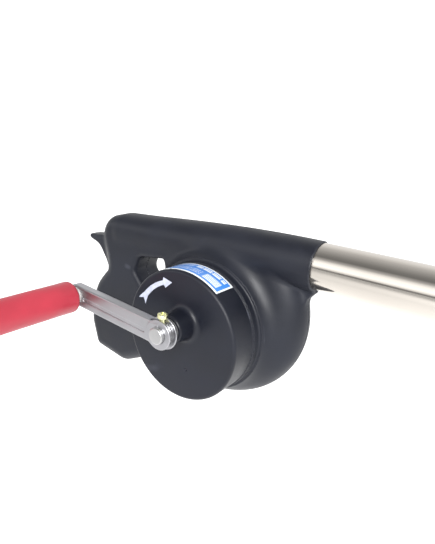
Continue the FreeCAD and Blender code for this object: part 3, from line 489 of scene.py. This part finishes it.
black_plastic = material("moulded_black", (0.0085, 0.0100, 0.0165), 0.48, grain=(1600, 0.12), tone=0.18,
                         wear=0.5, specular=0.34, scratch=0.25)
cover_plastic = material("moulded_black_cover", (0.0070, 0.0083, 0.0145), 0.44, grain=(1900, 0.09), tone=0.18,
                         wear=0.5, specular=0.34, scratch=0.25)
gear_plastic = material("acetal", (0.78, 0.76, 0.68), 0.38, grain=(900, 0.05), tone=0.04)
fan_plastic = material("black_nylon", (0.05, 0.05, 0.055), 0.5, grain=(700, 0.12), tone=0.1)
polished = material("polished_stainless", (0.60, 0.56, 0.51), 0.10, 1.0, grain=(1.0, 0.03), cloud=(30, 0.03),
                    tone=0.03, streak=(6, 900, 900))
bright_steel = material("bright_steel", (0.50, 0.50, 0.50), 0.36, 1.0, grain=(1200, 0.05), cloud=(160, 0.07),
                        tone=0.06, wear=0.3)
zinc = material("zinc_plate", (0.42, 0.42, 0.44), 0.40, 1.0, grain=(1.0, 0.05), cloud=(90, 0.08), tone=0.06,
                streak=(40, 700, 700), wear=0.4)
yellow_zinc = material("yellow_zinc", (0.86, 0.85, 0.50), 0.27, 1.0, grain=(1500, 0.06), cloud=(260, 0.08),
                       tone=0.14)
black_oxide = material("black_oxide", (0.05, 0.05, 0.055), 0.4, 0.8, grain=(1800, 0.1), tone=0.15, wear=0.6)
bronze = material("sintered_bronze", (0.52, 0.36, 0.18), 0.45, 1.0, grain=(2200, 0.15), tone=0.12)
red_plastic = material("red_plastic", (0.40, 0.026, 0.046), 0.42, grain=(1300, 0.10), cloud=(60, 0.10),
                       tone=0.10, wear=0.3)
white_nylon = material("white_nylon", (0.80, 0.79, 0.75), 0.45, grain=(1200, 0.05), tone=0.04)
print_white = material("pad_print", (0.46, 0.49, 0.60), 0.5, grain=(2500, 0.10), cloud=(700, 0.06), tone=0.14)
label_white = material("label_white", (0.82, 0.86, 0.90), 0.32, grain=(900, 0.03), tone=0.03, coat=0.3)
label_blue = material("label_blue", (0.045, 0.22, 0.66), 0.32, grain=(900, 0.03), tone=0.10, coat=0.3)

SLOT_FINISH = {
    "black_plastic": black_plastic, "gear_plastic": gear_plastic, "fan_plastic": fan_plastic,
    "stainless": polished, "steel": bright_steel, "zinc": zinc, "yellow_zinc": yellow_zinc,
    "screw_black": black_oxide, "bronze": bronze, "red_plastic": red_plastic,
    "white_nylon": white_nylon, "print_white": print_white, "label": label_blue,
}
for entry in frame["record"]["subparts"]:
    node = frame["nodes"][entry["node"]]
    for slot_place in node.material_slots:
        slot_place.material = SLOT_FINISH[entry["material_slot"]]

# ---------------------------------------------------------------- moulded body and cover

front_low = (-43.5, -26.4, -71.0)
front_high = (151.0, 0.8, 54.5)
rear_low = (-43.5, -0.8, -71.0)
rear_high = (151.0, 16.0, 54.5)
cover_low = (47.5, -57.0, -49.5)
cover_high = (128.8, -23.4, 31.9)
body_voxel = 0.7
add_object("body_front", solid("body_front", front_half, front_low, front_high, body_voxel),
           black_plastic, "housing", "black_plastic", "front_shell", "front_grip")
add_object("body_rear", solid("body_rear", rear_half, rear_low, rear_high, body_voxel),
           black_plastic, "housing", "black_plastic", "rear_shell", "rear_grip")
add_object("cover", solid("cover", cover, cover_low, cover_high, 0.55),
           cover_plastic, "housing", "black_plastic", "gear_cover")

# ---------------------------------------------------------------- pipe

add_object("outlet_pipe", lathe("outlet_pipe", (
    (PIPE_BORE, PIPE_START, 0.1), (NECK_RADIUS, PIPE_START, 0.3), (NECK_RADIUS, NECK_END, 0.1),
    (PIPE_RADIUS, NECK_END, 0.2), (PIPE_RADIUS, PIPE_END, 0.35), (PIPE_BORE, PIPE_END, 0.35)),
    0, PIPE_Z, "X", 128), polished, "housing", "stainless", "blow_pipe")

# ---------------------------------------------------------------- crank

arm_low = (FAN_X - 76, -65.6, -11.5)
arm_high = (FAN_X + 11.5, -57.6, 14.5)
add_object("pressed_arm", solid("pressed_arm", arm, arm_low, arm_high, 0.32),
           zinc, "crank", "zinc", "crank_arm")
add_object("shaft", lathe("shaft", (
    (0, SHAFT_TIP, 0), (SHAFT_RADIUS, SHAFT_TIP, 0.8), (SHAFT_RADIUS, SHAFT_BACK, 0.3), (0, SHAFT_BACK, 0)),
    FAN_X, 0, closed=False), bright_steel, "crank", "steel", "crank_shaft")


def collar(x, y, z):
    """The hub collar on the shaft between the ears of the arm."""
    from_hub = np.hypot(x - FAN_X, z)
    ring = pulled(from_hub - 6.5, y - HUB_MIDDLE, 1.5, 0.35)
    return np.maximum(ring, SHAFT_RADIUS - from_hub)


def set_screw(x, y, z):
    """A pan-head screw that stands up from the collar, with a cross recess."""
    c, s = math.cos(CRANK_ANGLE), math.sin(CRANK_ANGLE)
    side = -(x - FAN_X) * c - z * s
    height = (x - FAN_X) * s - z * c
    out = np.hypot(side, y - HUB_MIDDLE)
    head = pulled(out - 2.8, height - 10.7, 1.45, 0.55)
    head = both(head, np.sqrt(out ** 2 + (height - 6.6) ** 2) - 5.55, 0.3)
    shank = np.maximum(out - 1.5, np.abs(height - 7.2) - 3.0)
    shape = join(head, shank, 0.3)
    u = np.abs(side + 0.4 * (y - HUB_MIDDLE))
    v = np.abs(y - HUB_MIDDLE - 0.4 * side)
    bars = np.minimum(np.maximum(u - 0.42, v - 1.6), np.maximum(v - 0.42, u - 1.6))
    recess = np.maximum(bars, 10.9 - height)
    return both(shape, -recess, 0.15)


collar_low = (FAN_X - 7.5, -63.8, -7.5)
collar_high = (FAN_X + 7.5, -59.4, 7.5)
add_object("collar_ring", solid("collar_ring", collar, collar_low, collar_high, 0.25),
           bright_steel, "crank", "steel", "hub_collar")
screw_low = (FAN_X - 3.6, -65.2, 3.6)
screw_high = (FAN_X + 4.4, -58.0, 12.8)
add_object("pan_screw", solid("pan_screw", set_screw, screw_low, screw_high, 0.14),
           yellow_zinc, "crank", "yellow_zinc", "set_screw")

# ---------------------------------------------------------------- grip


def unevenness(angle, position, radius):
    """The slight waviness of a moulded and handled grip."""
    along = (position - GRIP_OUTER) / (GRIP_INNER - GRIP_OUTER)
    swell = 0.10 * math.sin(2.1 * math.pi * along + 0.6) + 0.05 * math.sin(5.0 * math.pi * along + 2 * angle)
    return swell * min(1.0, radius / GRIP_RADIUS) if radius > 6.5 else 0.0


add_object("grip", lathe("grip", (
    (GRIP_BORE, GRIP_INNER, 0.1), (GRIP_RADIUS, GRIP_INNER, 2.6),
    *((GRIP_RADIUS, place, 0) for place in (-80.0, -95.0, -110.0, -125.0)),
    (GRIP_RADIUS, GRIP_OUTER, 3.0),
    (CAP_RECESS, GRIP_OUTER, 0.5), (CAP_RECESS, GRIP_OUTER + 4.6, 0.3), (GRIP_BORE, GRIP_OUTER + 4.6, 0.1)),
    GRIP_X, GRIP_Z, wobble=unevenness), red_plastic, "grip", "red_plastic", "red_grip")
add_object("grip_end_cap", lathe("grip_end_cap", (
    (0, GRIP_OUTER + 0.2, 0), (4.0, GRIP_OUTER + 0.2, 0.3), (4.5, GRIP_OUTER + 0.5, 0.3),
    (5.9, GRIP_OUTER + 0.5, 0.3), (5.9, GRIP_OUTER + 1.9, 0.2), (0, GRIP_OUTER + 1.9, 0)),
    GRIP_X, GRIP_Z, closed=False), red_plastic, "grip", "red_plastic", "grip_cap")

# ---------------------------------------------------------------- label and arrow


def drum_point(radius, degrees, y):
    """A point by its distance and angle from the drum's axis."""
    angle = math.radians(degrees)
    return (DRUM_X + radius * math.cos(angle), y, DRUM_Z + radius * math.sin(angle))


def label_mesh():
    """A bent sticker: white, with a blue field and blank white panels. Cells are degrees by y."""
    start, end = 54.0, 112.0
    front, back = FACE_Y + 1.9, SEAM_Y - 1.1
    radius = DRUM_RADIUS + 0.16
    columns = 116
    rows = 36
    mesh = bpy.data.meshes.new("label_print")
    work = bmesh.new()
    grid = []
    for i in range(columns + 1):
        line = []
        for j in range(rows + 1):
            degrees = start + (end - start) * i / columns
            y = front + (back - front) * j / rows
            line.append(work.verts.new(Vector(drum_point(radius, degrees, y)) * MM))
        grid.append(line)
    for i in range(columns):
        for j in range(rows):
            face = work.faces.new((grid[i][j], grid[i + 1][j], grid[i + 1][j + 1], grid[i][j + 1]))
            u = (i + 0.5) / columns
            v = (j + 0.5) / rows
            border = u < 0.028 or u > 0.972 or v < 0.075 or v > 0.925
            panel = 0.09 < u < 0.36 and 0.20 < v < 0.56 and int(v * rows) % 3 != 0
            band = 0.09 < u < 0.62 and 0.66 < v < 0.86 and int(v * rows) % 4 != 0 and int(u * 48) % 8 != 0
            lines = 0.42 < u < 0.93 and 0.18 < v < 0.58 and int(v * rows) % 4 == 1 and int(u * 60) % 9 != 0
            top = 0.66 < u < 0.93 and 0.66 < v < 0.86 and int(v * rows) % 3 == 0
            face.material_index = 0 if border or panel or band or lines or top else 1
    bmesh.ops.recalc_face_normals(work, faces=work.faces)
    work.to_mesh(mesh)
    work.free()
    mesh.shade_smooth()
    return mesh


label_piece = add_object("label_print", label_mesh(), (label_white, label_blue), "housing", "label", "label")
thickness = label_piece.modifiers.new("thickness", "SOLIDIFY")
thickness.thickness = 0.14 * MM
thickness.offset = -1


def arrow_mesh():
    """The printed arrow: a curved stem that flares into a notched tail, and a broad head."""
    middle, tip, neck, tail = 31.6, 101.4, 112.0, 154.0
    outer = []
    inner = []
    for k in range(25):
        t = k / 24
        degrees = neck + (tail - neck) * t
        half = 1.2 + 0.6 * t + 1.3 * max(0.0, t - 0.75) / 0.25
        outer.append((middle + half, degrees))
        inner.append((middle - half, degrees))
    ring = [(middle - 0.4, tip), (middle + 2.9, neck - 0.3)] + outer
    ring += [(middle + 0.1, tail - 4.5)] + inner[::-1] + [(middle - 3.1, neck + 0.2)]
    mesh = bpy.data.meshes.new("arrow_print")
    work = bmesh.new()
    rim = [work.verts.new(Vector(drum_point(r, a, FACE_Y - 0.11)) * MM) for r, a in ring]
    face = work.faces.new(rim)
    bmesh.ops.triangulate(work, faces=[face])
    bmesh.ops.recalc_face_normals(work, faces=work.faces)
    work.to_mesh(mesh)
    work.free()
    return mesh


arrow_piece = add_object("arrow_print", arrow_mesh(), print_white,
                         "housing", "print_white", "direction_arrow")
thickness = arrow_piece.modifiers.new("thickness", "SOLIDIFY")
thickness.thickness = 0.10 * MM
thickness.offset = 0

# ---------------------------------------------------------------- camera, floor and light

# The camera stands to the right of the crank and above it, turned a few degrees about its line of sight.
CAMERA_PLACE = (237.287, -225.423, 104.640)
CAMERA_RIGHT = (0.8072, 0.5855, 0.0740)
CAMERA_UP = (-0.2335, 0.2016, 0.9512)
CAMERA_LENS = 30.17

cam_data = bpy.data.cameras.new("camera")
camera = bpy.data.objects.new("camera", cam_data)
COLLECTION.objects.link(camera)
cam_data.sensor_width = 36
cam_data.sensor_fit = "AUTO"
cam_data.lens = CAMERA_LENS
right = Vector(CAMERA_RIGHT).normalized()
up = Vector(CAMERA_UP)
back = right.cross(up).normalized()
up = back.cross(right).normalized()
pose = Matrix((right, up, back)).transposed().to_4x4()
pose.translation = Vector(CAMERA_PLACE) * MM
camera.matrix_world = pose
bpy.context.scene.camera = camera

# The floor is in metres, well below the object.
FLOOR_Z = -0.20
FLOOR_HALF = 9


def pale_floor():
    """A white floor, lit and also glowing with painted light; the glow is a little dimmer towards the front,
    as painted shade.
    """
    result = material("pale_floor", (0.76, 0.76, 0.76), 0.85, grain=(60, 0.02), tone=0.01, specular=0.1)
    nodes = result.node_tree.nodes
    links = result.node_tree.links
    place = nodes.new("ShaderNodeSeparateXYZ")
    links.new(nodes.new("ShaderNodeTexCoord").outputs["Object"], place.inputs["Vector"])
    # Painted light: the floor glows, and the glow falls off towards the front as painted shade.
    painted_glow = nodes.new("ShaderNodeMapRange")
    for key, number in (("From Min", -0.30), ("From Max", 0.05), ("To Min", 0.12), ("To Max", 0.75)):
        painted_glow.inputs[key].default_value = number
    links.new(place.outputs["Y"], painted_glow.inputs["Value"])
    shader = nodes["Principled BSDF"]
    shader.inputs["Emission Color"].default_value = (1, 1, 1, 1)
    links.new(painted_glow.outputs["Result"], shader.inputs["Emission Strength"])
    return result


floor_mesh = bpy.data.meshes.new("floor")
floor_corners = [(a * FLOOR_HALF, b * FLOOR_HALF, FLOOR_Z) for a, b in ((-1, -1), (1, -1), (1, 1), (-1, 1))]
floor_mesh.from_pydata(floor_corners, [], [(0, 1, 2, 3)])
floor_mesh.materials.append(pale_floor())
floor = bpy.data.objects.new("floor", floor_mesh)
COLLECTION.objects.link(floor)


def soft_light(name, place, aim, size, power):
    """A rectangular soft lamp turned towards a point."""
    data = bpy.data.lights.new(name, "AREA")
    data.shape = "RECTANGLE"
    data.size, data.size_y = size
    data.energy = power
    lamp = bpy.data.objects.new(name, data)
    COLLECTION.objects.link(lamp)
    lamp.location = place
    lamp.rotation_euler = (Vector(aim) - Vector(place)).to_track_quat("-Z", "Y").to_euler()


# Places and sizes of the lamp are in metres, and its power is in watts.
AIM = (0.08, 0.0, 0.0)
KEY_PLACE = (0.52, -0.72, 0.46)
KEY_SIZE = (0.42, 0.42)
KEY_POWER = 11.5
soft_light("key", KEY_PLACE, AIM, KEY_SIZE, KEY_POWER)

# A light tent, by the angle up from the front (-Y) and over to the back: dark at the front horizon,
# a broad soft light above it, a dim top, and a white back.
TENT = ((-180, 1.15), (-30, 0.5), (-4, 0.45), (1, 0.30), (4, 0.36), (9, 1.4), (18, 2.0), (34, 1.7),
        (46, 0.75), (60, 0.26), (72, 0.30), (92, 0.50), (115, 0.75), (140, 1.15), (180, 1.15))


def light_tent():
    """A world that is the light tent, its brightness read from TENT by angle."""
    world = bpy.data.worlds.new("studio")
    world.use_nodes = True
    nodes = world.node_tree.nodes
    links = world.node_tree.links
    way = nodes.new("ShaderNodeSeparateXYZ")
    links.new(nodes.new("ShaderNodeTexCoord").outputs["Generated"], way.inputs["Vector"])
    front = nodes.new("ShaderNodeMath")
    front.operation = "MULTIPLY"
    front.inputs[1].default_value = -1
    links.new(way.outputs["Y"], front.inputs[0])
    angle = nodes.new("ShaderNodeMath")
    angle.operation = "ARCTAN2"
    links.new(way.outputs["Z"], angle.inputs[0])
    links.new(front.outputs["Value"], angle.inputs[1])
    turn = nodes.new("ShaderNodeMapRange")
    turn.inputs["From Min"].default_value = -math.pi
    turn.inputs["From Max"].default_value = math.pi
    links.new(angle.outputs["Value"], turn.inputs["Value"])
    ramp = nodes.new("ShaderNodeValToRGB")
    stops = ramp.color_ramp.elements
    while len(stops) > 1:
        stops.remove(stops[-1])
    for index, (degrees, level) in enumerate(TENT):
        stop = stops[0] if index == 0 else stops.new(1.0)
        stop.position = (degrees + 180) / 360
        stop.color = (level / 2, level / 2, level / 2, 1)
    links.new(turn.outputs["Result"], ramp.inputs["Fac"])
    sky = nodes["Background"]
    sky.inputs["Strength"].default_value = 2.0
    links.new(ramp.outputs["Color"], sky.inputs["Color"])
    return world


bpy.context.scene.world = light_tent()
bpy.context.scene.view_settings.view_transform = "Standard"
